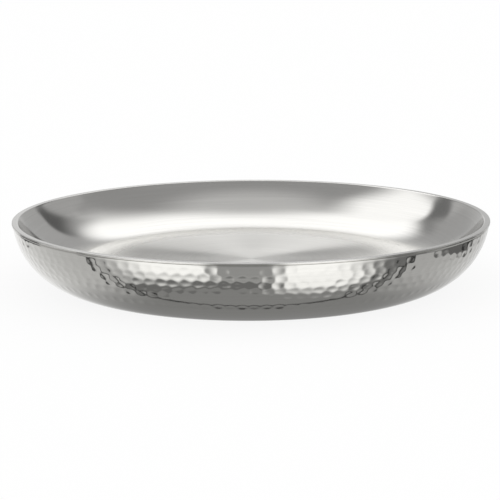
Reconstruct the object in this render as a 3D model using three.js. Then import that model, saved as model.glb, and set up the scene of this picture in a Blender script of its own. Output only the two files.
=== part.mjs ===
// Round double-wall tray for serving seafood on ice. A hammered outer shell with a rounded wall
// carries a satin inner pan; the two sheets meet under the flat rim land and a weld bead joins them.
// The space between the walls is vented through the base, and the vent is closed by a small plug.
// Millimetres, +Z up, origin on the axis of the tray at table level.

import * as THREE from "three";

// Whole tray
const rimDiameter = 400;
const trayHeight = 56.5;

// Outer shell
const shellSheet = 0.8;
const footDiameter = 275; // the curved wall leaves the flat foot here
const wallTopAngle = 83; // degrees, steepness of the wall under the rim
const shellSetback = 0.6; // the wall's top edge lies this far inside the rim's edge
const panelDiameter = 234; // raised middle of the base
const panelRise = 1.2;
const panelStepRun = 3; // sloping step from the raised middle down to the foot
const ventDiameter = 6;

// Inner pan
const panSheet = 0.8;
const wellDepth = 36;
const floorDiameter = 288;
const floorCreaseAngle = 11; // degrees, slope of the wall where it leaves the flat floor
const panWallTopAngle = 59; // degrees, slope of the wall where it meets the rim land
const rimLandWidth = 5;
const landBendRadius = 1.2;
const landEdgeRadius = 0.35;

// Rim weld
const weldHeight = 0.7;
const weldCrown = 0.35; // how far the bead bulges past the land's edge
const weldRoot = 0.6; // how far the bead reaches inside the shell's top edge

// Vent plug
const plugHeadDiameter = 11;
const plugHeadHeight = 0.7;
const plugClearance = 0.2; // around the stem, in the vent hole
const plugTail = 1; // stem length past the sheet
const plugTailChamfer = 0.4;

// Smoothness of the turned faces
const turnSegments = 80;
const plugSegments = 24;
const shellWallSteps = 10;
const panWallSteps = 8;
const bendSteps = 3;
const edgeSteps = 2;
const crownSteps = 4;

const rimRadius = rimDiameter / 2;
const shellTopZ = trayHeight - panSheet - weldHeight;
const landEdgeR = rimRadius - weldCrown;
const ventRadius = ventDiameter / 2;

function point(r, z) {
  return new THREE.Vector2(r, z);
}

// A wall from one point to another that steepens like an arc between two slopes. Each entry has its
// place on the face and the slope of the wall there, in radians.
function curvedWall(start, end, startAngle, endAngle, steps) {
  const from = THREE.MathUtils.degToRad(startAngle);
  const to = THREE.MathUtils.degToRad(endAngle);
  const scaleR = (end.x - start.x) / (Math.sin(to) - Math.sin(from));
  const scaleZ = (end.y - start.y) / (Math.cos(from) - Math.cos(to));
  const wall = [];
  for (let i = 0; i <= steps; i++) {
    const turn = from + ((to - from) * i) / steps;
    const at = point(
      start.x + scaleR * (Math.sin(turn) - Math.sin(from)),
      start.y + scaleZ * (Math.cos(from) - Math.cos(turn)),
    );
    const slope = Math.atan2(scaleZ * Math.sin(turn), scaleR * Math.cos(turn));
    wall.push({ at, slope });
  }
  return wall;
}

// The place on the other face of the sheet: above and inside the wall for a positive thickness.
function acrossSheet({ at, slope }, sheet) {
  return point(at.x - sheet * Math.sin(slope), at.y + sheet * Math.cos(slope));
}

// An arc about a centre, between two angles in degrees from the outward direction.
function arc(centre, radius, startAngle, endAngle, steps) {
  const points = [];
  for (let i = 0; i <= steps; i++) {
    const angle = THREE.MathUtils.degToRad(startAngle + ((endAngle - startAngle) * i) / steps);
    points.push(point(centre.x + radius * Math.cos(angle), centre.y + radius * Math.sin(angle)));
  }
  return points;
}

// A solid of revolution about +Z. Its outline runs out along the underside, up, and back along the top.
function turned(outline, segments) {
  const geometry = new THREE.LatheGeometry(outline, segments);
  geometry.rotateX(Math.PI / 2);
  return geometry;
}

// Drawn sheet with a stepped base, a flat foot ring and a wall that rounds up to the rim.
function outerShell() {
  const foot = point(footDiameter / 2, 0);
  const top = point(rimRadius - shellSetback, shellTopZ);
  const wall = curvedWall(foot, top, 0, wallTopAngle, shellWallSteps);
  const topEdge = wall.at(-1);
  const panelRadius = panelDiameter / 2;
  const insideWall = wall.slice(0, -1).map((place) => acrossSheet(place, shellSheet));
  const outline = [
    point(ventRadius, panelRise),
    point(panelRadius, panelRise),
    point(panelRadius + panelStepRun, 0),
    ...wall.map((place) => place.at),
    point(topEdge.at.x - shellSheet / Math.sin(topEdge.slope), shellTopZ),
    ...insideWall.reverse(),
    point(panelRadius + panelStepRun, shellSheet),
    point(panelRadius, panelRise + shellSheet),
    point(ventRadius, panelRise + shellSheet),
    point(ventRadius, panelRise),
  ];
  return turned(outline, turnSegments);
}

// Spun sheet with a flat floor, a crease where the wall starts, and a flat land around the rim.
function innerPan() {
  const floorZ = trayHeight - wellDepth;
  const floorEdge = point(floorDiameter / 2, floorZ);
  const landCorner = point(rimRadius - rimLandWidth, trayHeight);
  const wall = curvedWall(floorEdge, landCorner, floorCreaseAngle, panWallTopAngle, panWallSteps);
  const crease = wall[0].slope;
  const landBend = wall.at(-1).slope;
  const bendReach = landBendRadius * Math.tan(landBend / 2);
  const bendCentre = point(landCorner.x + bendReach, trayHeight - landBendRadius);
  const bendEndAngle = 90 + THREE.MathUtils.radToDeg(landBend);
  const edgeCentre = point(landEdgeR - landEdgeRadius, trayHeight - landEdgeRadius);
  const underWall = wall.slice(1, -1).map((place) => acrossSheet(place, -panSheet));
  const overWall = wall.slice(0, -1).map((place) => place.at);
  const outline = [
    point(0, floorZ - panSheet),
    point(floorEdge.x + panSheet * Math.tan(crease / 2), floorZ - panSheet),
    ...underWall,
    point(landCorner.x + panSheet * Math.tan(landBend / 2), trayHeight - panSheet),
    point(landEdgeR, trayHeight - panSheet),
    ...arc(edgeCentre, landEdgeRadius, 0, 90, edgeSteps),
    ...arc(bendCentre, landBendRadius, 90, bendEndAngle, bendSteps),
    ...overWall.reverse(),
    point(0, floorZ),
  ];
  return turned(outline, turnSegments);
}

// Bead between the underside of the land and the shell's top edge, with a rounded outer face.
function rimWeld() {
  const wallWidth = shellSheet / Math.sin(THREE.MathUtils.degToRad(wallTopAngle));
  const rootRadius = rimRadius - shellSetback - wallWidth - weldRoot;
  const crown = [];
  for (let i = 0; i <= crownSteps; i++) {
    const angle = Math.PI * (i / crownSteps - 0.5);
    const z = shellTopZ + (weldHeight / 2) * (1 + Math.sin(angle));
    crown.push(point(landEdgeR + weldCrown * Math.cos(angle), z));
  }
  const root = point(rootRadius, shellTopZ);
  const outline = [root, ...crown, point(rootRadius, shellTopZ + weldHeight), root];
  return turned(outline, turnSegments);
}

// Button plug seated on the underside of the raised base, with its stem through the vent hole.
function ventPlug() {
  const headRadius = plugHeadDiameter / 2;
  const stemRadius = ventRadius - plugClearance;
  const tailZ = panelRise + shellSheet + plugTail;
  const outline = [
    point(0, panelRise - plugHeadHeight),
    point(headRadius, panelRise - plugHeadHeight),
    point(headRadius, panelRise),
    point(stemRadius, panelRise),
    point(stemRadius, tailZ - plugTailChamfer),
    point(stemRadius - plugTailChamfer, tailZ),
    point(0, tailZ),
  ];
  return turned(outline, plugSegments);
}

function steel(color, roughness) {
  return new THREE.MeshStandardMaterial({ color, roughness, metalness: 1 });
}

const tray = new THREE.Group();

function addPiece(name, geometry, material) {
  const mesh = new THREE.Mesh(geometry, material);
  mesh.name = name;
  tray.add(mesh);
}

addPiece("outer_shell", outerShell(), steel(0xc4c1ba, 0.16));
addPiece("inner_pan", innerPan(), steel(0xcfcdc8, 0.34));
addPiece("rim_weld", rimWeld(), steel(0xc9c6c0, 0.22));
addPiece("vent_plug", ventPlug(), steel(0xb8b5ae, 0.3));

export default tray;
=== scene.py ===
import math

import bpy
from mathutils import Matrix, Vector


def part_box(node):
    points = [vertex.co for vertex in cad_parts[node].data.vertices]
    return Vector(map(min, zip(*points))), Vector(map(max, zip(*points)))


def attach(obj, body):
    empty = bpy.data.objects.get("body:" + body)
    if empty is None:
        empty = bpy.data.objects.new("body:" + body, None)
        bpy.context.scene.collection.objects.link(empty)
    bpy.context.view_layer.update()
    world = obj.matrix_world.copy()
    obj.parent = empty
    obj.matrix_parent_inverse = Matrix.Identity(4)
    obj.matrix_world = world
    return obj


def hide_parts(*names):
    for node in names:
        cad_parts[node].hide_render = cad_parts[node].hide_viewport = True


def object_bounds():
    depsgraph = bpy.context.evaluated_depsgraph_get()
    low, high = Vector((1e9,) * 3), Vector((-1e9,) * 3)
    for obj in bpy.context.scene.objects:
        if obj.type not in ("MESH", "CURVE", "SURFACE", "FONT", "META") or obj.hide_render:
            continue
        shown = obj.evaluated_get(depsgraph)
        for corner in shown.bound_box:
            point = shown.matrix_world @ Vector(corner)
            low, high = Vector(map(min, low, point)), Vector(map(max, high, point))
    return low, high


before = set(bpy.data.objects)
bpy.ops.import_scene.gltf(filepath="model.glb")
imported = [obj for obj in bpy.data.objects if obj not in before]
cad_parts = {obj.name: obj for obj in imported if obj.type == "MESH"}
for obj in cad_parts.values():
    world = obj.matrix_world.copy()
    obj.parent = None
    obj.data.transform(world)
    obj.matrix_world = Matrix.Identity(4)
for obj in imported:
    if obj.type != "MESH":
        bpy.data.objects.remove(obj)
cadLow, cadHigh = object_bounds()  # the CAD box
mm = 0.001
rimRadius = cadHigh.x
trayHeight = cadHigh.z
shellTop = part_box("outer_shell")[1]  # outer radius and height of the shell's top edge
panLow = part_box("inner_pan")[0]
weldLow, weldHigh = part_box("rim_weld")
plugLow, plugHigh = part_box("vent_plug")
print("frame loaded: tray", round(2 * rimRadius / mm), "x", round(trayHeight / mm, 1), "mm")


def linear(hexColour):
    channels = [int(hexColour[i:i + 2], 16) / 255 for i in (1, 3, 5)]
    return [c / 12.92 if c <= 0.04045 else ((c + 0.055) / 1.055) ** 2.4 for c in channels] + [1.0]


def addNode(tree, kind, settings=None, inputs=None):
    node = tree.nodes.new(kind)
    for name, value in (settings or {}).items():
        setattr(node, name, value)
    for key, value in (inputs or {}).items():
        if isinstance(value, bpy.types.Node):
            value = value.outputs[0]
        if isinstance(value, bpy.types.NodeSocket):
            tree.links.new(value, node.inputs[key])
        else:
            node.inputs[key].default_value = value
    return node


# A section is a list of rings (radius, height, steps around). It runs out along the underside, up the
# outside and back along the top, so that the faces of the turned mesh point outwards.
def ring(radius, height, steps):
    return (radius, height, steps)


def curvedWall(start, end, startAngle, endAngle, parts):
    first, last = math.radians(startAngle), math.radians(endAngle)
    reach = (end[0] - start[0]) / (math.sin(last) - math.sin(first))
    rise = (end[1] - start[1]) / (math.cos(first) - math.cos(last))
    wall = []
    for part in parts:
        turn = first + (last - first) * part
        radius = start[0] + reach * (math.sin(turn) - math.sin(first))
        height = start[1] + rise * (math.cos(first) - math.cos(turn))
        slope = math.atan2(rise * math.sin(turn), reach * math.cos(turn))
        wall.append((radius, height, slope))
    return wall


def bend(centre, radius, startAngle, endAngle, count, steps):
    rings = []
    for i in range(count + 1):
        angle = math.radians(startAngle + (endAngle - startAngle) * i / count)
        across, up = radius * math.cos(angle), radius * math.sin(angle)
        rings.append(ring(centre[0] + across, centre[1] + up, steps))
    return rings


def evenParts(count, start=0.0, end=1.0):
    return [start + (end - start) * i / count for i in range(count + 1)]


# Turns a section about the axis. A ring may have twice as many steps as its neighbour, and one on the
# axis is a single point.
def turnedMesh(name, section, closed):
    places, faces, firstOf = [], [], []
    counts = [steps if radius > 0 else 1 for radius, height, steps in section]
    for (radius, height, steps), count in zip(section, counts):
        firstOf.append(len(places))
        for i in range(count):
            angle = 2 * math.pi * i / count
            places.append((radius * math.cos(angle), radius * math.sin(angle), height))
    pairs = list(zip(range(len(section)), range(1, len(section))))
    if closed:
        pairs.append((len(section) - 1, 0))
    for a, b in pairs:
        countA, countB = counts[a], counts[b]
        baseA, baseB = firstOf[a], firstOf[b]
        fewer, more = sorted((countA, countB))
        for i in range(fewer if fewer > 1 else more):
            if countA == 1:  # a fan around the first point
                faces.append((baseB + i, baseB + (i + 1) % countB, baseA))
            elif countB == 1:  # a fan around the last point
                faces.append((baseA + i, baseA + (i + 1) % countA, baseB))
            elif countA == countB:
                j = (i + 1) % countA
                faces.append((baseA + i, baseA + j, baseB + j, baseB + i))
            elif countB == 2 * countA:  # three triangles where the steps double
                j, mid, far = (i + 1) % countA, 2 * i + 1, (2 * i + 2) % countB
                faces.append((baseA + i, baseB + mid, baseB + 2 * i))
                faces.append((baseA + i, baseA + j, baseB + mid))
                faces.append((baseA + j, baseB + far, baseB + mid))
            else:  # and where they halve
                j, mid, far = (i + 1) % countB, 2 * i + 1, (2 * i + 2) % countA
                faces.append((baseA + 2 * i, baseA + mid, baseB + i))
                faces.append((baseA + mid, baseB + j, baseB + i))
                faces.append((baseA + mid, baseA + far, baseB + j))
    mesh = bpy.data.meshes.new(name)
    mesh.from_pydata(places, [], faces)
    mesh.polygons.foreach_set("use_smooth", [True] * len(mesh.polygons))
    mesh.update()
    return mesh


def addPiece(name, mesh, material, node):
    piece = bpy.data.objects.new(name, mesh)
    bpy.context.scene.collection.objects.link(piece)
    mesh.materials.clear()
    mesh.materials.append(material)
    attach(piece, "root")
    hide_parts(node)
    return piece


acrossLines = 0.25  # quarter turn of the tangent, so that light smears across the circular lines
lineDetail = 2.0
faintLine = 0.3  # noise below this keeps the plain colour
fullLine = 0.7  # and above this has all of the line colour


# Stainless steel with lines from polishing or brushing in circles about the axis. The middle of a piece
# and its outer part can differ in roughness, and close to the axis the lines smear light less.
def spunSteel(name, look):
    material = bpy.data.materials.new(name)
    material.use_nodes = True
    tree = material.node_tree
    shader = tree.nodes["Principled BSDF"]
    shader.inputs["Metallic"].default_value = 1.0
    shader.inputs["Anisotropic Rotation"].default_value = acrossLines
    around = addNode(tree, "ShaderNodeTangent", {"direction_type": "RADIAL", "axis": "Z"})
    tree.links.new(around.outputs["Tangent"], shader.inputs["Tangent"])
    place = addNode(tree, "ShaderNodeTexCoord").outputs["Object"]
    split = addNode(tree, "ShaderNodeSeparateXYZ", None, {0: place})
    flat = addNode(tree, "ShaderNodeCombineXYZ", None, {"X": split.outputs["X"], "Y": split.outputs["Y"]})
    radius = addNode(tree, "ShaderNodeVectorMath", {"operation": "LENGTH"}, {0: flat}).outputs["Value"]
    smear = addNode(tree, "ShaderNodeMapRange", {"interpolation_type": "SMOOTHSTEP"}, {
        "Value": radius, "From Max": look["swirlRadius"],
        "To Min": look["swirlAnisotropy"], "To Max": look["anisotropy"]})
    tree.links.new(smear.outputs[0], shader.inputs["Anisotropic"])
    outward = addNode(tree, "ShaderNodeMath", {"operation": "ADD"}, {0: radius, 1: split.outputs["Z"]})
    across = addNode(tree, "ShaderNodeMath", {"operation": "DIVIDE"}, {0: outward, 1: look["lineWidth"]})
    along = addNode(tree, "ShaderNodeVectorMath", {"operation": "SCALE"}, {
        0: flat, "Scale": 1 / look["lineLength"]})
    alongSplit = addNode(tree, "ShaderNodeSeparateXYZ", None, {0: along})
    lined = addNode(tree, "ShaderNodeCombineXYZ", None, {
        "X": across, "Y": alongSplit.outputs["X"], "Z": alongSplit.outputs["Y"]})
    lines = addNode(tree, "ShaderNodeTexNoise", None, {"Vector": lined, "Scale": 1.0, "Detail": lineDetail})
    shade = addNode(tree, "ShaderNodeMapRange", None, {
        "Value": lines.outputs["Fac"], "From Min": faintLine, "From Max": fullLine})
    tint = addNode(tree, "ShaderNodeMix", {"data_type": "RGBA"}, {
        0: shade, 6: linear(look["colour"]), 7: linear(look["lineColour"])})
    tree.links.new(tint.outputs[2], shader.inputs["Base Color"])
    rough = addNode(tree, "ShaderNodeMapRange", {"interpolation_type": "SMOOTHSTEP"}, {
        "Value": radius, "From Min": look["changeAt"], "From Max": look["changeAt"] + look["changeOver"],
        "To Min": look["middleRoughness"], "To Max": look["outerRoughness"]})
    spread = addNode(tree, "ShaderNodeMath", {"operation": "MULTIPLY_ADD"}, {
        0: shade, 1: look["lineRoughness"], 2: rough})
    tree.links.new(spread.outputs[0], shader.inputs["Roughness"])
    return material


# Hammered and polished stainless steel: nearly a mirror, so that each dent throws its own glint. The flat
# base below keeps the marks of its polishing and is duller.
hammeredLook = {
    "colour": "#cbcac6",
    "lineColour": "#c8c7c3",
    "anisotropy": 0.3,
    "swirlRadius": 20 * mm,
    "swirlAnisotropy": 0.2,
    "middleRoughness": 0.34,
    "outerRoughness": 0.085,
    "changeAt": 138 * mm,
    "changeOver": 8 * mm,
    "lineWidth": 1.6 * mm,  # real polishing lines are finer than a pixel, so they are drawn this coarse
    "lineLength": 120 * mm,
    "lineRoughness": 0.01,
}

# Satin stainless steel, brushed in circles on the spinning lathe: reflections smear across the brush lines
# and draw a bright wedge through the middle of the floor.
satinLook = {
    "colour": "#dddcd9",
    "lineColour": "#d7d6d3",
    "anisotropy": 0.97,
    "swirlRadius": 50 * mm,  # inside this the brush lines cross and smear less
    "swirlAnisotropy": 0.5,
    "middleRoughness": 0.37,
    "outerRoughness": 0.11,
    "changeAt": 98 * mm,
    "changeOver": 40 * mm,
    "lineWidth": 1.3 * mm,  # real brush lines are finer than a pixel, so they are drawn this coarse
    "lineLength": 120 * mm,
    "lineRoughness": 0.025,
}

# Stainless weld ground flush and polished, as bright as the wall below it.
weldLook = dict(hammeredLook, outerRoughness=0.1)

# Plain turned stainless steel of the vent plug: duller and darker, with fine turning lines.
plugLook = dict(hammeredLook, colour="#b9b8b3", lineColour="#aaa9a4", lineWidth=0.5 * mm, lineLength=8 * mm)

# Hammered outer shell
shell = {
    "sheet": 0.8 * mm,
    "footRadius": 137.5 * mm,
    "wallTopAngle": 83,
    "panelRadius": 117 * mm,
    "panelRise": 1.2 * mm,
    "panelStepRun": 3 * mm,
    "stepBlend": 1 * mm,  # the step's two edges are eased over this width
    "stepEase": 0.06 * mm,
    "footFlat": 2 * mm,
    "ventRadius": 3 * mm,
    "around": 1600,  # steps around in the dented part; half of it elsewhere, a quarter inside
    "smoothPart": 0.495,  # share of the wall, from the foot up, that the hammer leaves smooth
    "plainPart": 0.977,  # from here up to the rim the wall is smooth again
    "dentRings": 48,
    "smoothRings": 12,
    "insideRings": 8,
}
hammer = {
    "rows": 6,
    "firstRow": 5.2 * mm,  # below the shell's top edge
    "rowPitch": 5.9 * mm,
    "lastGap": 5.9 * mm,  # the lowest row lies this much further down
    "dentsAround": 124,  # in each row, about 10 mm apart
    "stagger": 0.3,  # every other row is turned by this share of a dent
    "dentRadius": 5.2 * mm,
    "flatness": 1.55,  # a dent is this much wider than tall, as the wall curves away above and below it
    "dentDepth": 0.27 * mm,
    "weakTop": 0.6,  # the blows close under the rim have this share of the depth
    "fullBelow": 14 * mm,  # from here down they have all of it
    "weakFoot": 0.65,  # and those of the lowest row have this share
    "fadeFrom": 25 * mm,
    "fadeTo": 32 * mm,
    "jitter": 0.8 * mm,
    "unevenness": 0.3,  # how much the blows differ in strength
    "ridgeRounds": 2,  # rounds of smoothing that soften the ridges between dents
    "seed": 11,
}


def shellSection(s):
    around, plain, inner = s["around"], s["around"] // 2, s["around"] // 4
    foot, top = (s["footRadius"], 0.0), (shellTop.x, shellTop.z)
    smoothParts = evenParts(s["smoothRings"], 0, s["smoothPart"])
    smooth = curvedWall(foot, top, 0, s["wallTopAngle"], smoothParts)
    dentedParts = evenParts(s["dentRings"], s["smoothPart"], s["plainPart"])[1:] + [1.0]
    dented = curvedWall(foot, top, 0, s["wallTopAngle"], dentedParts)
    inside = curvedWall(foot, top, 0, s["wallTopAngle"], evenParts(s["insideRings"]))
    topSlope = inside[-1][2]
    stepOut = s["panelRadius"] + s["panelStepRun"]
    section = [
        ring(s["ventRadius"], s["panelRise"], inner),
        ring(s["panelRadius"] - s["stepBlend"], s["panelRise"], plain),
        ring(s["panelRadius"], s["panelRise"] - s["stepEase"], plain),
        ring(stepOut, s["stepEase"], plain),
        ring(stepOut + s["stepBlend"], 0.0, plain),
        ring(s["footRadius"] - s["footFlat"], 0.0, plain),
    ]
    section += [ring(r, z, plain) for r, z, slope in smooth]
    firstDented = len(section)
    section += [ring(r, z, around) for r, z, slope in dented]
    lastDented = len(section)
    section.append(ring(shellTop.x - s["sheet"] / math.sin(topSlope), shellTop.z, plain))
    for r, z, slope in reversed(inside[:-1]):
        section.append(ring(r - s["sheet"] * math.sin(slope), z + s["sheet"] * math.cos(slope), inner))
    section += [
        ring(stepOut, s["sheet"], inner),
        ring(s["panelRadius"], s["panelRise"] + s["sheet"], inner),
        ring(s["ventRadius"], s["panelRise"] + s["sheet"], inner),
    ]
    return section, firstDented, lastDented


circleSteps = 256  # corners of the circle that the dents of a row are placed on


# Rows of hammer dents: rings of points around the wall, and each place on the wall sinks towards the
# nearest of them as a shallow round bowl, so that neighbouring bowls meet in a soft ridge.
def hammerTree():
    tree = bpy.data.node_groups.new("HammerDents", "GeometryNodeTree")
    tree.interface.new_socket("Geometry", in_out="INPUT", socket_type="NodeSocketGeometry")
    for name in ("Rows", "Dents Around", "Ridge Rounds", "Seed"):
        tree.interface.new_socket(name, in_out="INPUT", socket_type="NodeSocketInt")
    for name in ("First Row", "Row Pitch", "Last Gap", "Stagger", "Dent Radius", "Flatness", "Dent Depth",
                 "Weak Top", "Full Below", "Weak Foot", "Fade From", "Fade To", "Jitter", "Unevenness",
                 "Foot Radius", "Wall Reach", "Wall Rise", "Top Angle"):
        tree.interface.new_socket(name, in_out="INPUT", socket_type="NodeSocketFloat")
    tree.interface.new_socket("Steel", in_out="INPUT", socket_type="NodeSocketMaterial")
    tree.interface.new_socket("Geometry", in_out="OUTPUT", socket_type="NodeSocketGeometry")
    given = addNode(tree, "NodeGroupInput").outputs
    index = addNode(tree, "GeometryNodeInputIndex")
    place = addNode(tree, "GeometryNodeInputPosition")

    # one point for each row, at the wall's height there
    even = addNode(tree, "ShaderNodeMath", {"operation": "MULTIPLY_ADD"}, {
        0: index, 1: given["Row Pitch"], 2: given["First Row"]})
    # halfway between the numbers of the last two rows, which count from 0
    lastRow = addNode(tree, "ShaderNodeMath", {"operation": "SUBTRACT"}, {0: given["Rows"], 1: 1.5})
    isLast = addNode(tree, "ShaderNodeMath", {"operation": "GREATER_THAN"}, {0: index, 1: lastRow})
    below = addNode(tree, "ShaderNodeMath", {"operation": "MULTIPLY_ADD"}, {
        0: isLast, 1: given["Last Gap"], 2: even})
    turned = addNode(tree, "ShaderNodeMath", {"operation": "DIVIDE"}, {0: below, 1: given["Wall Reach"]})
    angle = addNode(tree, "ShaderNodeMath", {"operation": "SUBTRACT"}, {0: given["Top Angle"], 1: turned})
    sine = addNode(tree, "ShaderNodeMath", {"operation": "SINE"}, {0: angle})
    cosine = addNode(tree, "ShaderNodeMath", {"operation": "COSINE"}, {0: angle})
    rowRadius = addNode(tree, "ShaderNodeMath", {"operation": "MULTIPLY_ADD"}, {
        0: sine, 1: given["Wall Reach"], 2: given["Foot Radius"]})
    drop = addNode(tree, "ShaderNodeMath", {"operation": "MULTIPLY"}, {0: cosine, 1: given["Wall Rise"]})
    rowHeight = addNode(tree, "ShaderNodeMath", {"operation": "SUBTRACT"}, {0: given["Wall Rise"], 1: drop})
    rows = addNode(tree, "GeometryNodeMeshLine", None, {"Count": given["Rows"], "Offset": (0, 0, 0)})
    rowPlace = addNode(tree, "ShaderNodeCombineXYZ", None, {"Z": rowHeight})
    raised = addNode(tree, "GeometryNodeSetPosition", None, {"Geometry": rows, "Position": rowPlace})

    # a circle of the wall's radius at each row, every other one turned a little, cut into points
    odd = addNode(tree, "ShaderNodeMath", {"operation": "MODULO"}, {0: index, 1: 2.0})
    oneDent = addNode(tree, "ShaderNodeMath", {"operation": "DIVIDE"}, {
        0: 2 * math.pi, 1: given["Dents Around"]})
    turn = addNode(tree, "ShaderNodeMath", {"operation": "MULTIPLY"}, {0: oneDent, 1: given["Stagger"]})
    phase = addNode(tree, "ShaderNodeMath", {"operation": "MULTIPLY"}, {0: odd, 1: turn})
    euler = addNode(tree, "ShaderNodeCombineXYZ", None, {"Z": phase})
    spin = addNode(tree, "FunctionNodeEulerToRotation", None, {0: euler})
    scale = addNode(tree, "ShaderNodeCombineXYZ", None, {"X": rowRadius, "Y": rowRadius, "Z": 1.0})
    circle = addNode(tree, "GeometryNodeCurvePrimitiveCircle", None, {
        "Resolution": circleSteps, "Radius": 1.0})
    circles = addNode(tree, "GeometryNodeInstanceOnPoints", None, {
        "Points": raised, "Instance": circle, "Rotation": spin, "Scale": scale})
    real = addNode(tree, "GeometryNodeRealizeInstances", None, {"Geometry": circles})
    dents = addNode(tree, "GeometryNodeCurveToPoints", {"mode": "COUNT"}, {
        "Curve": real, "Count": given["Dents Around"]})

    # hand work: each dent is a little off its place
    shake = addNode(tree, "FunctionNodeRandomValue", {"data_type": "FLOAT_VECTOR"}, {
        0: (-1, -1, -1), 1: (1, 1, 1), 8: given["Seed"]})
    moved = addNode(tree, "ShaderNodeVectorMath", {"operation": "SCALE"}, {
        0: shake, "Scale": given["Jitter"]})
    placed = addNode(tree, "GeometryNodeSetPosition", None, {"Geometry": dents, "Offset": moved})

    # depth of the nearest dent at each place on the wall
    nearest = addNode(tree, "GeometryNodeSampleNearest", {"domain": "POINT"}, {"Geometry": placed})
    centre = addNode(tree, "GeometryNodeSampleIndex", {"data_type": "FLOAT_VECTOR", "domain": "POINT"}, {
        "Geometry": placed, "Value": place, "Index": nearest})
    crossed = addNode(tree, "ShaderNodeVectorMath", {"operation": "CROSS_PRODUCT"}, {0: centre, 1: place})
    turnOf = addNode(tree, "ShaderNodeSeparateXYZ", None, {0: crossed})
    wallRadius = addNode(tree, "ShaderNodeMath", {"operation": "ADD"}, {
        0: given["Foot Radius"], 1: given["Wall Reach"]})
    sideways = addNode(tree, "ShaderNodeMath", {"operation": "DIVIDE"}, {
        0: turnOf.outputs["Z"], 1: wallRadius})
    sidewaysSquared = addNode(tree, "ShaderNodeMath", {"operation": "MULTIPLY"}, {0: sideways, 1: sideways})
    distance = addNode(tree, "ShaderNodeVectorMath", {"operation": "DISTANCE"}, {0: place, 1: centre})
    away = distance.outputs["Value"]
    awaySquared = addNode(tree, "ShaderNodeMath", {"operation": "MULTIPLY"}, {0: away, 1: away})
    climbSquared = addNode(tree, "ShaderNodeMath", {"operation": "SUBTRACT"}, {
        0: awaySquared, 1: sidewaysSquared})
    flatSquared = addNode(tree, "ShaderNodeMath", {"operation": "MULTIPLY"}, {
        0: given["Flatness"], 1: given["Flatness"]})
    stretched = addNode(tree, "ShaderNodeMath", {"operation": "MULTIPLY_ADD"}, {
        0: climbSquared, 1: flatSquared, 2: sidewaysSquared})
    reach = addNode(tree, "ShaderNodeMath", {"operation": "MULTIPLY"}, {
        0: given["Dent Radius"], 1: given["Dent Radius"]})
    share = addNode(tree, "ShaderNodeMath", {"operation": "DIVIDE"}, {0: stretched, 1: reach})
    bowl = addNode(tree, "ShaderNodeMath", {"operation": "SUBTRACT", "use_clamp": True}, {0: 1.0, 1: share})

    # some blows were stronger than others
    luck = addNode(tree, "FunctionNodeRandomValue", {"data_type": "FLOAT"}, {
        2: -1.0, 3: 1.0, "ID": nearest, 8: given["Seed"]})
    blow = addNode(tree, "ShaderNodeMath", {"operation": "MULTIPLY_ADD"}, {
        0: luck.outputs[1], 1: given["Unevenness"], 2: 1.0})
    depth = addNode(tree, "ShaderNodeMath", {"operation": "MULTIPLY"}, {0: given["Dent Depth"], 1: blow})
    topCosine = addNode(tree, "ShaderNodeMath", {"operation": "COSINE"}, {0: given["Top Angle"]})
    topDrop = addNode(tree, "ShaderNodeMath", {"operation": "MULTIPLY"}, {
        0: topCosine, 1: given["Wall Rise"]})
    topHeight = addNode(tree, "ShaderNodeMath", {"operation": "SUBTRACT"}, {
        0: given["Wall Rise"], 1: topDrop})
    fullHeight = addNode(tree, "ShaderNodeMath", {"operation": "SUBTRACT"}, {
        0: topHeight, 1: given["Full Below"]})
    height = addNode(tree, "ShaderNodeSeparateXYZ", None, {0: place})
    gain = addNode(tree, "ShaderNodeMapRange", None, {
        "Value": height.outputs["Z"], "From Min": topHeight, "From Max": fullHeight,
        "To Min": given["Weak Top"]})
    fromTop = addNode(tree, "ShaderNodeMath", {"operation": "SUBTRACT"}, {
        0: topHeight, 1: height.outputs["Z"]})
    fade = addNode(tree, "ShaderNodeMapRange", None, {
        "Value": fromTop, "From Min": given["Fade From"], "From Max": given["Fade To"],
        "To Min": 1.0, "To Max": given["Weak Foot"]})
    topGraded = addNode(tree, "ShaderNodeMath", {"operation": "MULTIPLY"}, {0: depth, 1: gain})
    graded = addNode(tree, "ShaderNodeMath", {"operation": "MULTIPLY"}, {0: topGraded, 1: fade})
    deep = addNode(tree, "ShaderNodeMath", {"operation": "MULTIPLY"}, {0: bowl, 1: graded})
    soft = addNode(tree, "GeometryNodeBlurAttribute", {"data_type": "FLOAT"}, {
        0: deep, "Iterations": given["Ridge Rounds"]})
    hammered = addNode(tree, "GeometryNodeInputNamedAttribute", {"data_type": "FLOAT"}, {
        "Name": "hammered"})
    masked = addNode(tree, "ShaderNodeMath", {"operation": "MULTIPLY"}, {0: soft, 1: hammered})
    inward = addNode(tree, "ShaderNodeMath", {"operation": "MULTIPLY"}, {0: masked, 1: -1.0})
    normal = addNode(tree, "GeometryNodeInputNormal")
    offset = addNode(tree, "ShaderNodeVectorMath", {"operation": "SCALE"}, {0: normal, "Scale": inward})
    dented = addNode(tree, "GeometryNodeSetPosition", None, {
        "Geometry": given["Geometry"], "Offset": offset})
    whole = addNode(tree, "GeometryNodeRealizeInstances", None, {"Geometry": dented})
    finished = addNode(tree, "GeometryNodeSetMaterial", None, {
        "Geometry": whole, "Material": given["Steel"]})
    addNode(tree, "NodeGroupOutput", None, {0: finished})
    return tree


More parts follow.
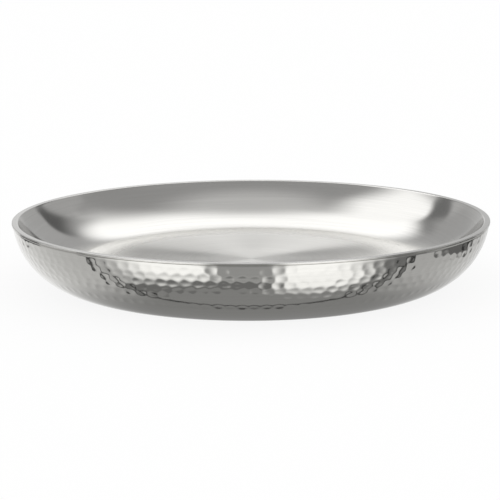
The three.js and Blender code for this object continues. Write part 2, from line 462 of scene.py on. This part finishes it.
def hammeredShell(s, h, steel):
    section, firstDented, lastDented = shellSection(s)
    mesh = turnedMesh("smooth_shell", section, closed=True)
    mask = mesh.attributes.new("hammered", "FLOAT", "POINT")
    start = sum(steps for r, z, steps in section[:firstDented])
    end = sum(steps for r, z, steps in section[:lastDented])
    mask.data.foreach_set("value", [1.0 if start <= i < end else 0.0 for i in range(len(mesh.vertices))])
    blank = bpy.data.objects.new("smooth_shell", mesh)
    bpy.context.scene.collection.objects.link(blank)
    top = math.radians(s["wallTopAngle"])
    values = {
        "Rows": h["rows"], "Dents Around": h["dentsAround"], "Seed": h["seed"],
        "First Row": h["firstRow"], "Row Pitch": h["rowPitch"], "Last Gap": h["lastGap"],
        "Stagger": h["stagger"],
        "Dent Radius": h["dentRadius"], "Flatness": h["flatness"], "Dent Depth": h["dentDepth"],
        "Weak Top": h["weakTop"], "Full Below": h["fullBelow"],
        "Weak Foot": h["weakFoot"], "Fade From": h["fadeFrom"], "Fade To": h["fadeTo"],
        "Jitter": h["jitter"], "Unevenness": h["unevenness"], "Ridge Rounds": h["ridgeRounds"],
        "Foot Radius": s["footRadius"], "Wall Reach": (shellTop.x - s["footRadius"]) / math.sin(top),
        "Wall Rise": shellTop.z / (1 - math.cos(top)), "Top Angle": top, "Steel": steel,
    }
    dents = blank.modifiers.new("HammerDents", "NODES")
    dents.node_group = hammerTree()
    for item in dents.node_group.interface.items_tree:
        if item.in_out == "INPUT" and item.name in values:
            dents[item.identifier] = values[item.name]
    seen = bpy.context.evaluated_depsgraph_get()
    seen.update()
    hammered = bpy.data.meshes.new_from_object(blank.evaluated_get(seen))
    hammered.name = "hammered_shell"
    bpy.data.objects.remove(blank)
    bpy.data.meshes.remove(mesh)
    hammered.attributes.remove(hammered.attributes["hammered"])
    return hammered


shellSteel = spunSteel("hammered_polished_stainless_steel", hammeredLook)
shellMesh = hammeredShell(shell, hammer, shellSteel)
addPiece("hammered_shell", shellMesh, shellSteel, "outer_shell")
print("shell hammered:", len(shellMesh.polygons), "faces")

# Satin inner pan
pan = {
    "sheet": 0.8 * mm,
    "floorRadius": 144 * mm,
    "creaseAngle": 11,
    "wallTopAngle": 59,
    "landWidth": 5 * mm,
    "landBend": 1.2 * mm,
    "landEdge": 0.4 * mm,
    "edgeSetback": 0.04 * mm,  # the land's edge lies this far inside the weld's face
    "underChamfer": 0.1 * mm,  # width and height of the small chamfer below that edge
    "underRise": 0.06 * mm,
    "landFlat": 0.3 * mm,  # the flat of the land begins this far from its rounded edges
    "creaseBlend": 0.6 * mm,
    "around": 512,
    "wallRings": 48,
    "floorRings": 12,
    "underRings": 8,
    "edgeRings": 5,
    "bendRings": 6,
    "creaseRings": 5,
}


def panSection(p):
    around = p["around"]
    floorZ = panLow.z + p["sheet"]
    landR = rimRadius - p["landWidth"]
    start, end = (p["floorRadius"], floorZ), (landR, trayHeight)
    wall = curvedWall(start, end, p["creaseAngle"], p["wallTopAngle"], evenParts(p["wallRings"]))
    under = curvedWall(start, end, p["creaseAngle"], p["wallTopAngle"], evenParts(p["underRings"]))
    crease, landBend = wall[0][2], wall[-1][2]
    reach = p["landBend"] * math.tan(landBend / 2)
    bendCentre = (landR + reach, trayHeight - p["landBend"])
    edgeR = rimRadius - p["edgeSetback"]
    edgeCentre = (edgeR - p["landEdge"], trayHeight - p["landEdge"])
    section = [
        ring(0.0, panLow.z, around),
        ring(p["floorRadius"] + p["sheet"] * math.tan(crease / 2), panLow.z, around),
    ]
    for r, z, slope in under[1:-1]:
        section.append(ring(r + p["sheet"] * math.sin(slope), z - p["sheet"] * math.cos(slope), around))
    section += [
        ring(landR + p["sheet"] * math.tan(landBend / 2), trayHeight - p["sheet"], around),
        ring(edgeR - p["underChamfer"], trayHeight - p["sheet"], around),
        ring(edgeR, trayHeight - p["sheet"] + p["underRise"], around),
    ]
    section += bend(edgeCentre, p["landEdge"], 0, 90, p["edgeRings"], around)
    section.append(ring(edgeR - p["landEdge"] - p["landFlat"], trayHeight, around))
    section.append(ring(bendCentre[0] + p["landFlat"], trayHeight, around))
    section += bend(bendCentre, p["landBend"], 90, 90 + math.degrees(landBend), p["bendRings"], around)
    section += [ring(r, z, around) for r, z, slope in reversed(wall[2:-1])]
    # the crease where the wall meets the floor is a small rounded valley
    tangent = p["creaseBlend"]
    corner = wall[0]
    onWall = (corner[0] + tangent * math.cos(crease), corner[1] + tangent * math.sin(crease))
    onFloor = (corner[0] - tangent, corner[1])
    for part in evenParts(p["creaseRings"]):
        weights = ((1 - part) ** 2, 2 * part * (1 - part), part ** 2)
        section.append(ring(
            weights[0] * onWall[0] + weights[1] * corner[0] + weights[2] * onFloor[0],
            weights[0] * onWall[1] + weights[1] * corner[1] + weights[2] * onFloor[1], around))
    for part in evenParts(p["floorRings"])[1:]:
        section.append(ring((corner[0] - tangent) * (1 - part), floorZ, around))
    return section


panSteel = spunSteel("satin_brushed_stainless_steel", satinLook)
panMesh = turnedMesh("satin_pan", panSection(pan), closed=False)
addPiece("satin_pan", panMesh, panSteel, "inner_pan")
print("pan turned:", len(panMesh.polygons), "faces")

# Weld bead under the rim land, ground to an upright face with rounded edges
weld = {
    "corner": 0.06 * mm,
    "foot": 0.45 * mm,
    "footBendAngle": -60,  # the lower corner, twice as round as the upper one, starts at this angle
    "width": 2 * mm,
    "around": 512,
    "cornerRings": 4,
}


def weldSection(w):
    around, rings = w["around"], w["cornerRings"]
    face, inner = weldHigh.x, weldHigh.x - w["width"]
    corner, footCorner = w["corner"], 2 * w["corner"]
    footCentre = (face - footCorner, weldLow.z + footCorner)
    topCentre = (face - corner, weldHigh.z - corner)
    section = [ring(inner, weldLow.z, around), ring(face - w["foot"], weldLow.z, around)]
    section += bend(footCentre, footCorner, w["footBendAngle"], 0, rings, around)
    section += bend(topCentre, corner, 0, 90, rings, around)
    section.append(ring(inner, weldHigh.z, around))
    return section


weldSteel = spunSteel("polished_stainless_weld", weldLook)
weldMesh = turnedMesh("rim_bead", weldSection(weld), closed=True)
addPiece("rim_bead", weldMesh, weldSteel, "rim_weld")

# Vent plug in the base
plug = {
    "headHeight": 0.7 * mm,
    "stemRadius": 2.8 * mm,
    "edge": 0.25 * mm,
    "faceInset": 0.2 * mm,  # the head's flat face ends this far inside its rounded edge
    "tailChamfer": 0.4 * mm,
    "around": 64,
    "edgeRings": 4,
}


def plugSection(p):
    around = p["around"]
    head = plugHigh.x
    seat = plugLow.z + p["headHeight"]
    edgeCentre = (head - p["edge"], plugLow.z + p["edge"])
    section = [ring(0.0, plugLow.z, around), ring(edgeCentre[0] - p["faceInset"], plugLow.z, around)]
    section += bend(edgeCentre, p["edge"], -90, 0, p["edgeRings"], around)
    section += [
        ring(head, seat, around),
        ring(p["stemRadius"], seat, around),
        ring(p["stemRadius"], plugHigh.z - p["tailChamfer"], around),
        ring(p["stemRadius"] - p["tailChamfer"], plugHigh.z, around),
        ring(0.0, plugHigh.z, around),
    ]
    return section


plugSteel = spunSteel("turned_stainless_steel", plugLook)
plugMesh = turnedMesh("vent_button", plugSection(plug), closed=False)
addPiece("vent_button", plugMesh, plugSteel, "vent_plug")
print("weld and plug made")

# Stage: pale floor, white surroundings and the soft studio that the steel reflects
stage = {"floorHalf": 12.0, "floorColour": "#fcfcfc", "glow": 0.88}
studio = {
    "plain": 1.0,  # what the camera and the pale floor see all round
    "overhead": 0.62,  # what the steel sees behind all panels
    # panels and cards, painted over one another in this order: left and right azimuth (0 towards the
    # camera, plus to its right), lowest and highest elevation, softness of the left, right, low and high
    # edge, all in degrees, then how much they climb towards the right, and strength
    "panels": [
        ("front band", -110, 126, -30, 69, 10, 10, 8, 10, 0, 0.35),
        ("beside the softbox", 118, 143, 32, 42, 6, 6, 3, 6, 0, 0.36),
        ("rear low", 100, 265, -2, 30, 5, 5, 5, 5, 0, 0.53),
        ("rear softbox", 143, 217, 28, 69, 16, 7, 3.5, 11, 0, 1.46),
        ("rear softbox, right part", 214, 268, 31, 63.5, 7, 14, 4, 7, 0, 1.37),
        ("under the softbox, left", 139, 175, 18, 35.6, 4, 3, 4, 5, -0.5, 0.43),
        ("under the softbox, right", 187, 216, 10, 34.5, 4, 5, 4, 4.5, 0.36, 0.42),
        ("left card, tail", 198, 214, 30.5, 35, 4, 3, 3, 2.5, 0.36, 0.28),
        ("left card", 213, 237, 22.5, 34.3, 5, 2.5, 2, 2, -0.33, 0.19),
        ("right card", 138, 165, 14, 31.5, 3, 3, 2.5, 5, -0.2, 0.12),
        ("rear patch", 113, 140, 18, 36, 3, 3.5, 3, 2, 0, 0.45),
        ("behind the right card", 147, 168, 0, 24.9, 2, 4, 3, 1.3, 0.57, 0.45),
        ("rear glow", 175, 190, -2, 14, 7, 5, 5, 4, 0, 0.78),
        ("front floor", -181, 181, -95, -60, 3, 3, 3, 3, 0, 0.335),
        ("dark strip", -96, 22, -62.5, -49, 4, 6, 2, 3, 0, 0.22),
        ("centre gap", -56, 44, -48, -2, 3, 3, 7, 4, 0, 0.44),
        ("side of front, left", -96, -66, -50, 20, 4, 4, 4, 4, 0, 0.56),
        ("side of front, right", 60, 92, -60, 20, 9, 2, 4, 4, 0, 0.22),
        ("left softbox", -66, -21, -45.5, 35, 18, 6, 13, 3, 0, 1.58),
        ("right softbox", 15, 58, -58, 35, 8, 20, 17, 3, 0, 1.6),
        ("right softbox, low part", 24, 69, -60, -38, 7, 16, 14, 6, 0, 1.5),
    ],
    "cards": [
        ("right low card", 103, 136, -24.3, -4, 2, 1, 1, 1, 0, 0.17),
        ("right low card, near part", 84, 104, -20, -4, 2, 2, 1.5, 1, 0, 0.33),
        ("right low card, dark edge", 126.5, 133, -20, -4, 1, 1, 1, 1, 0, 0.04),
        ("right low card, far part", 133, 147, -16.5, -4, 1, 1, 1, 1, 0, 0.36),
        ("left low card", -143, -119, -17.2, -4, 1.5, 1.5, 0.7, 1, 0, 0.02),
    ],
    # the table: its front edge shows as a dark line, and it darkens under the tray
    "edgeLean": 0.507,
    "edgeShift": -0.3235,
    "edgeWidth": 0.05,
    "edgeBlur": 0.008,
    "edgeStrength": 0.03,
    "horizonBlur": 0.01,
    "nearSpan": 0.8,  # sideways part of the direction over which left changes to right, near and far
    "farSpan": 0.4,
    "nearLeft": 0.69,
    "nearRight": 0.6,
    "farLeft": 1.12,
    "farRight": 0.81,
    "tableShaded": 0.31,
    "shadeLeft": 0.69,  # where the tray's shade begins, and how soft it is at the sides
    "shadeRight": 0.61,
    "shadeSoftness": 0.24,
    "shadeStretch": 0.6,  # how much the shade reaches back
}


# Lays one soft-edged panel over the light behind it
def softPanel():
    group = bpy.data.node_groups.new("SoftPanel", "ShaderNodeTree")
    for name in ("Light", "Azimuth", "Elevation", "Middle", "Half Width", "Lowest", "Highest",
                 "Left Edge", "Right Edge", "Low Edge", "High Edge", "Climb", "Strength"):
        group.interface.new_socket(name, in_out="INPUT", socket_type="NodeSocketFloat")
    group.interface.new_socket("Light", in_out="OUTPUT", socket_type="NodeSocketFloat")
    given = addNode(group, "NodeGroupInput").outputs
    turned = addNode(group, "ShaderNodeMath", {"operation": "SUBTRACT"}, {
        0: given["Azimuth"], 1: given["Middle"]})
    wrapped = addNode(group, "ShaderNodeMath", {"operation": "WRAP"}, {0: turned, 1: math.pi, 2: -math.pi})
    fromLeft = addNode(group, "ShaderNodeMath", {"operation": "ADD"}, {0: given["Half Width"], 1: wrapped})
    fromRight = addNode(group, "ShaderNodeMath", {"operation": "SUBTRACT"}, {
        0: given["Half Width"], 1: wrapped})
    climbed = addNode(group, "ShaderNodeMath", {"operation": "MULTIPLY"}, {0: wrapped, 1: given["Climb"]})
    level = addNode(group, "ShaderNodeMath", {"operation": "SUBTRACT"}, {0: given["Elevation"], 1: climbed})
    above = addNode(group, "ShaderNodeMath", {"operation": "SUBTRACT"}, {0: level, 1: given["Lowest"]})
    under = addNode(group, "ShaderNodeMath", {"operation": "SUBTRACT"}, {0: given["Highest"], 1: level})
    share = 1.0
    for inward, edge in ((fromLeft, "Left Edge"), (fromRight, "Right Edge"),
                         (above, "Low Edge"), (under, "High Edge")):
        outside = addNode(group, "ShaderNodeMath", {"operation": "MULTIPLY"}, {0: given[edge], 1: -1.0})
        soft = addNode(group, "ShaderNodeMapRange", {"interpolation_type": "SMOOTHSTEP"}, {
            "Value": inward, "From Min": outside, "From Max": given[edge]})
        share = addNode(group, "ShaderNodeMath", {"operation": "MULTIPLY"}, {0: soft, 1: share})
    light = addNode(group, "ShaderNodeMix", {"data_type": "FLOAT"}, {
        0: share, 2: given["Light"], 3: given["Strength"]})
    addNode(group, "NodeGroupOutput", None, {0: light})
    return group


def layPanels(tree, panel, light, azimuth, elevation, rows):
    for name, left, right, lowest, highest, leftEdge, rightEdge, lowEdge, highEdge, climb, strength in rows:
        light = addNode(tree, "ShaderNodeGroup", {"node_tree": panel, "label": name}, {
            "Light": light, "Azimuth": azimuth, "Elevation": elevation,
            "Middle": math.radians((left + right) / 2), "Half Width": math.radians((right - left) / 2),
            "Lowest": math.radians(lowest), "Highest": math.radians(highest),
            "Left Edge": math.radians(leftEdge), "Right Edge": math.radians(rightEdge),
            "Low Edge": math.radians(lowEdge), "High Edge": math.radians(highEdge),
            "Climb": climb, "Strength": strength})
    return light


# Light by direction. Only reflections see it; the camera and the pale floor see plain white.
def studioWorld(s):
    world = bpy.data.worlds.new("soft_studio")
    bpy.context.scene.world = world
    world.use_nodes = True
    tree = world.node_tree
    panel = softPanel()
    towards = addNode(tree, "ShaderNodeTexCoord").outputs["Generated"]
    split = addNode(tree, "ShaderNodeSeparateXYZ", None, {0: towards})
    sideways = split.outputs["X"]
    back = split.outputs["Y"]
    front = addNode(tree, "ShaderNodeMath", {"operation": "MULTIPLY"}, {0: back, 1: -1.0})
    down = addNode(tree, "ShaderNodeMath", {"operation": "MULTIPLY"}, {0: split.outputs["Z"], 1: -1.0})
    azimuth = addNode(tree, "ShaderNodeMath", {"operation": "ARCTAN2"}, {0: sideways, 1: front})
    elevation = addNode(tree, "ShaderNodeMath", {"operation": "ARCSINE"}, {0: split.outputs["Z"]})
    light = layPanels(tree, panel, s["overhead"], azimuth, elevation, s["panels"])

    # the table, from its front edge backwards
    below = addNode(tree, "ShaderNodeMapRange", None, {
        "Value": down, "From Min": -s["horizonBlur"], "From Max": s["horizonBlur"]})
    lean = addNode(tree, "ShaderNodeMath", {"operation": "MULTIPLY_ADD"}, {
        0: down, 1: s["edgeLean"], 2: s["edgeShift"]})
    edgeAt = addNode(tree, "ShaderNodeMath", {"operation": "MULTIPLY"}, {0: down, 1: lean})
    beyond = addNode(tree, "ShaderNodeMath", {"operation": "SUBTRACT"}, {0: back, 1: edgeAt})
    backSquared = addNode(tree, "ShaderNodeMath", {"operation": "MULTIPLY"}, {0: back, 1: back})
    downSquared = addNode(tree, "ShaderNodeMath", {"operation": "MULTIPLY"}, {0: down, 1: down})
    under = addNode(tree, "ShaderNodeMath", {"operation": "MULTIPLY_ADD"}, {
        0: backSquared, 1: s["shadeStretch"], 2: downSquared})
    near = addNode(tree, "ShaderNodeMapRange", None, {
        "Value": sideways, "From Min": -s["nearSpan"], "From Max": s["nearSpan"],
        "To Min": s["nearLeft"], "To Max": s["nearRight"]})
    far = addNode(tree, "ShaderNodeMapRange", None, {
        "Value": sideways, "From Min": -s["farSpan"], "From Max": s["farSpan"],
        "To Min": s["farLeft"], "To Max": s["farRight"]})
    lit = addNode(tree, "ShaderNodeMix", {"data_type": "FLOAT"}, {0: backSquared, 2: near, 3: far})
    shadeAt = addNode(tree, "ShaderNodeMapRange", None, {
        "Value": sideways, "From Min": -s["nearSpan"], "From Max": s["nearSpan"],
        "To Min": s["shadeLeft"], "To Max": s["shadeRight"]})
    softness = addNode(tree, "ShaderNodeMath", {"operation": "MULTIPLY_ADD"}, {
        0: backSquared, 1: -s["shadeSoftness"], 2: s["shadeSoftness"]})
    shadeFrom = addNode(tree, "ShaderNodeMath", {"operation": "SUBTRACT"}, {0: shadeAt, 1: softness})
    shadeTo = addNode(tree, "ShaderNodeMath", {"operation": "ADD"}, {0: shadeAt, 1: softness})
    table = addNode(tree, "ShaderNodeMapRange", {"interpolation_type": "SMOOTHSTEP"}, {
        "Value": under, "From Min": shadeFrom, "From Max": shadeTo,
        "To Min": lit, "To Max": s["tableShaded"]})
    for start, strength in ((-s["edgeWidth"], s["edgeStrength"]), (0.0, table)):
        reached = addNode(tree, "ShaderNodeMapRange", {"interpolation_type": "SMOOTHSTEP"}, {
            "Value": beyond, "From Min": start - s["edgeBlur"], "From Max": start + s["edgeBlur"]})
        share = addNode(tree, "ShaderNodeMath", {"operation": "MULTIPLY"}, {0: reached, 1: below})
        light = addNode(tree, "ShaderNodeMix", {"data_type": "FLOAT"}, {0: share, 2: light, 3: strength})
    light = layPanels(tree, panel, light, azimuth, elevation, s["cards"])
    reflected = addNode(tree, "ShaderNodeLightPath").outputs["Is Glossy Ray"]
    seen = addNode(tree, "ShaderNodeMix", {"data_type": "FLOAT"}, {0: reflected, 2: s["plain"], 3: light})
    tree.links.new(seen.outputs[0], tree.nodes["Background"].inputs["Color"])


def paleFloor(s):
    half = s["floorHalf"]
    corners = [(-half, -half, 0), (half, -half, 0), (half, half, 0), (-half, half, 0)]
    mesh = bpy.data.meshes.new("pale_floor")
    mesh.from_pydata(corners, [], [(0, 1, 2, 3)])
    floor = bpy.data.objects.new("pale_floor", mesh)
    bpy.context.scene.collection.objects.link(floor)
    material = bpy.data.materials.new("matt_pale_board")
    material.use_nodes = True
    tree = material.node_tree
    tree.nodes.remove(tree.nodes["Principled BSDF"])
    board = addNode(tree, "ShaderNodeBsdfDiffuse", None, {"Color": linear(s["floorColour"])})
    white = addNode(tree, "ShaderNodeEmission", None, {"Color": (1, 1, 1, 1), "Strength": 1.0})
    seen = addNode(tree, "ShaderNodeLightPath").outputs["Is Camera Ray"]
    glow = addNode(tree, "ShaderNodeMath", {"operation": "MULTIPLY"}, {0: seen, 1: s["glow"]})
    lit = addNode(tree, "ShaderNodeMixShader", None, {0: glow, 1: board, 2: white})
    clear = addNode(tree, "ShaderNodeBsdfTransparent")
    under = addNode(tree, "ShaderNodeNewGeometry").outputs["Backfacing"]  # clear from below, for the base
    shown = addNode(tree, "ShaderNodeMixShader", None, {0: under, 1: lit, 2: clear})
    tree.links.new(shown.outputs[0], tree.nodes["Material Output"].inputs["Surface"])
    mesh.materials.append(material)
    floor.visible_glossy = False  # the steel reflects the studio's own table instead


studioWorld(studio)
paleFloor(stage)
print("stage set")

# Camera at the photograph's angle: the tray seen from a little above, through a long lens
view = {
    "distance": 1.6,  # metres from the middle of the rim
    "elevation": 10.01,  # degrees, as is the roll
    "lens": 136.83,  # lens and sensor in mm
    "sensor": 36,
    "roll": 0.26,
    "aimDrop": 28.2 * mm,
    "aimLeft": 0.88 * mm,
}


def addCamera(v):
    data = bpy.data.cameras.new("camera")
    data.lens = v["lens"]
    data.sensor_width = v["sensor"]
    data.dof.use_dof = False
    camera = bpy.data.objects.new("camera", data)
    bpy.context.scene.collection.objects.link(camera)
    tilt, roll = math.radians(v["elevation"]), math.radians(v["roll"])
    target = Vector((0, 0, trayHeight))
    away = Vector((0, -math.cos(tilt), math.sin(tilt)))
    upward = Vector((0, math.sin(tilt), math.cos(tilt)))
    place = target + away * v["distance"]
    aim = target - upward * v["aimDrop"] - Vector((v["aimLeft"], 0, 0))
    ahead = (aim - place).normalized()
    level = ahead.cross(Vector((0, 0, 1))).normalized()
    top = level.cross(ahead)
    side = level * math.cos(roll) - top * math.sin(roll)
    rise = top * math.cos(roll) + level * math.sin(roll)
    camera.matrix_world = Matrix.Translation(place) @ Matrix((side, rise, -ahead)).transposed().to_4x4()
    bpy.context.scene.camera = camera


addCamera(view)
bpy.context.scene.view_settings.view_transform = "Standard"
